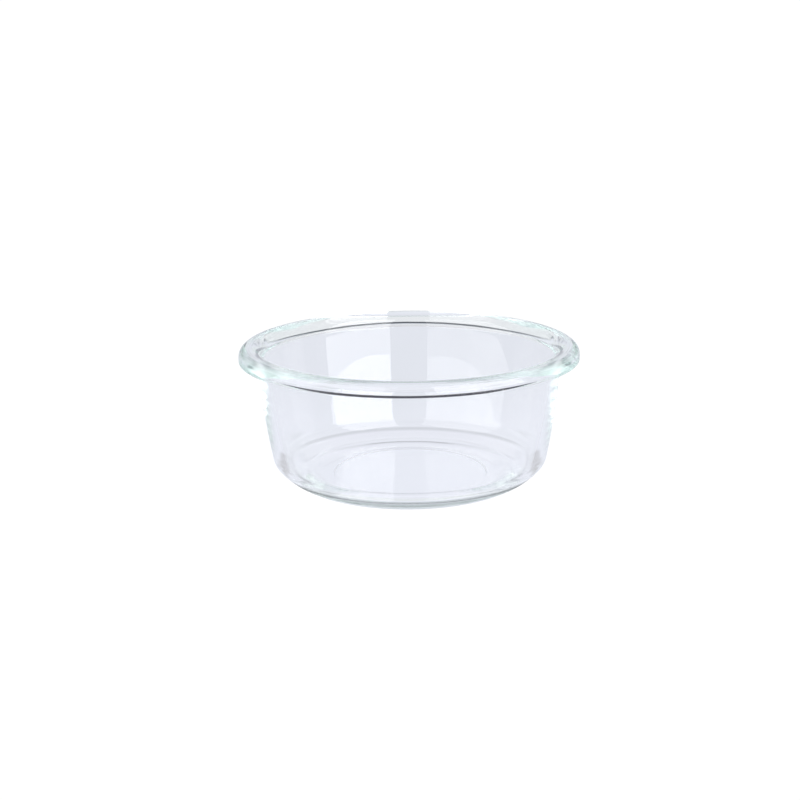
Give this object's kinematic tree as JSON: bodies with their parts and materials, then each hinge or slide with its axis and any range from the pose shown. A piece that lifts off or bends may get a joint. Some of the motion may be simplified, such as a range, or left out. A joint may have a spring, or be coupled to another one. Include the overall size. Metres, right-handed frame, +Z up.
{
  "type": "glass storage container",
  "caption": "Round clear glass food container with a bowed, tapering wall, a rounded base and a wide flanged rim that takes a lid.",
  "frame": {"origin": "centre of the flat resting face under the base", "axes": "+Z up, out of the mouth along the axis of revolution; the piece is round, so +X and +Y are any two square directions across it"},
  "size_m": [0.15, 0.15, 0.0633],
  "materials": {
    "clear_glass": "fire-polished clear pressed glass with a faint cool green edge tint"
  },
  "bodies": {
    "root": {"glass_bowl": "clear_glass"}
  },
  "joints": []
}
